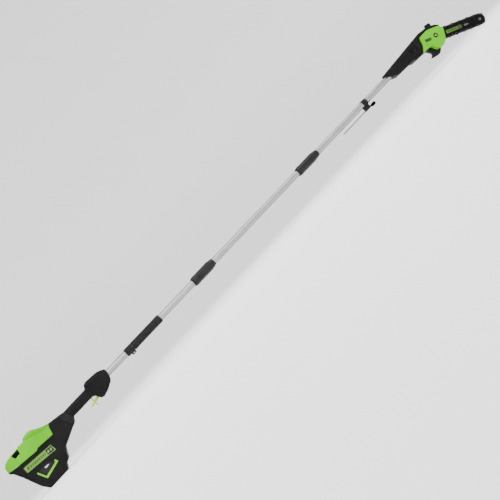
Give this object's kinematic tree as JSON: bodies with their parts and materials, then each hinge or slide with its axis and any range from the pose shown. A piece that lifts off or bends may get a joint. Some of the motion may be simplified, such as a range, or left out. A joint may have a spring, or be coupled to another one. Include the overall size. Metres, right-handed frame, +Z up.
{
  "type": "sectional pole saw",
  "caption": "Battery pole chain saw: housing with trigger grip, tubular pole in coupled sections, and an angled saw head with hook, oil cap, cover, guide bar and chain.",
  "frame": {"origin": "centre of the bottom of the bounding box, on the floor that the tool lies on", "axes": "+X along the pole from the battery housing to the saw, +Z up, the guide bar on the -Y side"},
  "size_m": [2.7808, 0.092, 0.2108],
  "materials": {
    "black_plastic": "fine moulded grain",
    "green_plastic": "satin gloss",
    "pale_green": "satin",
    "label": "printed film",
    "trigger_plastic": "satin",
    "pole_aluminium": "brushed satin",
    "foam": "closed-cell foam",
    "steel": "machined",
    "black_steel": "satin black oxide",
    "chain_steel": "oiled",
    "cells": "wrapped",
    "brass": "plated",
    "board": "coated",
    "copper_wire": "insulated",
    "motor_core": "laminated",
    "tank": "natural",
    "window": "smoked"
  },
  "bodies": {
    "power_unit": {"housing_left": "black_plastic", "housing_right": "black_plastic", "hood": "green_plastic", "label_plates": "label", "side_trims": "pale_green", "terminal_block": "black_plastic", "controller_board": "board", "housing_screws": "black_steel", "neck_collar": "black_plastic", "handle_left": "black_plastic", "handle_right": "black_plastic", "handle_pins": "steel", "microswitch": "black_plastic", "rear_tube": "pole_aluminium", "rear_lead": "copper_wire", "coupler_1_socket": "black_plastic", "strap_collar": "black_plastic", "foam_grip": "foam"},
    "battery": {"battery_case": "black_plastic", "battery_cells": "cells", "battery_contacts": "brass"},
    "release_button": {"release_button": "black_plastic"},
    "trigger": {"trigger": "trigger_plastic"},
    "lock_lever": {"lock_lever": "trigger_plastic"},
    "switch_plunger": {"switch_plunger": "brass"},
    "sleeve_1": {"coupler_1_sleeve": "black_plastic"},
    "mid_section": {"mid_tube": "pole_aluminium", "mid_lead": "copper_wire", "coupler_2_socket": "black_plastic"},
    "sleeve_2": {"coupler_2_sleeve": "black_plastic"},
    "front_section": {"front_tube": "pole_aluminium", "front_lead": "copper_wire", "tool_clip": "black_plastic", "head_left": "black_plastic", "head_right": "black_plastic", "gear_carrier": "pole_aluminium", "bearings": "steel", "motor_can": "steel", "motor_stator": "motor_core", "oil_tank": "tank", "limb_hook": "black_plastic", "head_screws": "black_steel", "bar_stud": "steel", "deck_insert": "steel"},
    "wrench": {"wrench": "black_steel"},
    "oil_cap": {"oil_cap": "black_plastic"},
    "rotor": {"motor_rotor": "motor_core"},
    "drive": {"output_shaft": "steel", "drive_gear": "steel", "drive_sprocket": "steel"},
    "bar": {"guide_bar": "black_steel", "tension_block": "steel", "chain_drive_links": "chain_steel", "chain_tie_straps": "chain_steel", "chain_cutters": "chain_steel"},
    "nose_sprocket": {"nose_sprocket": "steel"},
    "tension_screw": {"tension_screw": "steel"},
    "sprocket_cover": {"sprocket_cover": "green_plastic", "cover_window": "window"},
    "bar_nut": {"bar_nut": "steel"}
  },
  "joints": [
    {"name": "battery_slide", "type": "slide", "parent": "power_unit", "child": "battery", "axis": [-1, 0, 0], "range_m": [0, 0.165]},
    {"name": "release_button_press", "type": "hinge", "parent": "power_unit", "child": "release_button", "pos_m": [-1.2934, 0, 0.18337], "axis": [0, -1, 0], "range_deg": [0, 8], "stiffness_Nm_per_rad": 0.5, "springref_deg": -8.59},
    {"name": "trigger_pull", "type": "hinge", "parent": "power_unit", "child": "trigger", "pos_m": [-0.9574, 0, 0.11137], "axis": [0, 1, 0], "range_deg": [0, 12], "stiffness_Nm_per_rad": 0.4, "springref_deg": -11.46},
    {"name": "lock_lever_press", "type": "hinge", "parent": "power_unit", "child": "lock_lever", "pos_m": [-0.9864, 0, 0.13437], "axis": [0, -1, 0], "range_deg": [0, 8], "stiffness_Nm_per_rad": 0.05, "springref_deg": -11.46},
    {"name": "switch_plunger_slide", "type": "slide", "parent": "power_unit", "child": "switch_plunger", "axis": [1, 0, 0], "range_m": [0, 0.0034]},
    {"name": "sleeve_1_twist", "type": "hinge", "parent": "power_unit", "child": "sleeve_1", "pos_m": [-0.3234, 0, 0.14437], "axis": [1, 0, 0], "range_deg": [0, 90]},
    {"name": "mid_section_slide", "type": "slide", "parent": "power_unit", "child": "mid_section", "axis": [1, 0, 0], "range_m": [0, 0.06]},
    {"name": "sleeve_2_twist", "type": "hinge", "parent": "mid_section", "child": "sleeve_2", "pos_m": [0.3226, 0, 0.14437], "axis": [1, 0, 0], "range_deg": [0, 90]},
    {"name": "front_section_slide", "type": "slide", "parent": "mid_section", "child": "front_section", "axis": [1, 0, 0], "range_m": [0, 0.06]},
    {"name": "wrench_slide", "type": "slide", "parent": "front_section", "child": "wrench", "axis": [1, 0, 0], "range_m": [0, 0.12]},
    {"name": "oil_cap_turn", "type": "hinge", "parent": "front_section", "child": "oil_cap", "pos_m": [1.1691, -0.002, 0.16197], "axis": [0.3, 0, 0.9539], "range_deg": [0, 450]},
    {"name": "drive_spin", "type": "hinge", "parent": "front_section", "child": "drive", "pos_m": [1.10867, -0.027, 0.1359], "axis": [0, 1, 0], "continuous": true},
    {"name": "rotor_spin", "type": "hinge", "parent": "front_section", "child": "rotor", "pos_m": [1.07867, 0, 0.1359], "axis": [0, 1, 0], "continuous": true},
    {"name": "bar_slide", "type": "slide", "parent": "front_section", "child": "bar", "axis": [-0.9205, 0, 0.3907], "range_m": [0, 0.006]},
    {"name": "nose_sprocket_spin", "type": "hinge", "parent": "bar", "child": "nose_sprocket", "pos_m": [1.362, -0.027, 0.02837], "axis": [0, 1, 0], "continuous": true},
    {"name": "tension_screw_turn", "type": "hinge", "parent": "front_section", "child": "tension_screw", "pos_m": [1.16781, -0.0168, 0.12166], "axis": [0.9205, 0, -0.3907], "range_deg": [0, 2702]},
    {"name": "sprocket_cover_slide", "type": "slide", "parent": "front_section", "child": "sprocket_cover", "axis": [0, -1, 0], "range_m": [0, 0.04]},
    {"name": "bar_nut_turn", "type": "hinge", "parent": "sprocket_cover", "child": "bar_nut", "pos_m": [1.14365, -0.042, 0.12106], "axis": [0, 1, 0], "continuous": true}
  ],
  "couplings": [
    {"joint": "switch_plunger_slide", "follows": "trigger_pull", "m_per_rad": 0.016},
    {"joint": "rotor_spin", "follows": "drive_spin", "ratio": -4},
    {"joint": "nose_sprocket_spin", "follows": "drive_spin", "ratio": 0.75},
    {"joint": "tension_screw_turn", "follows": "bar_slide", "rad_per_m": 7854}
  ]
}
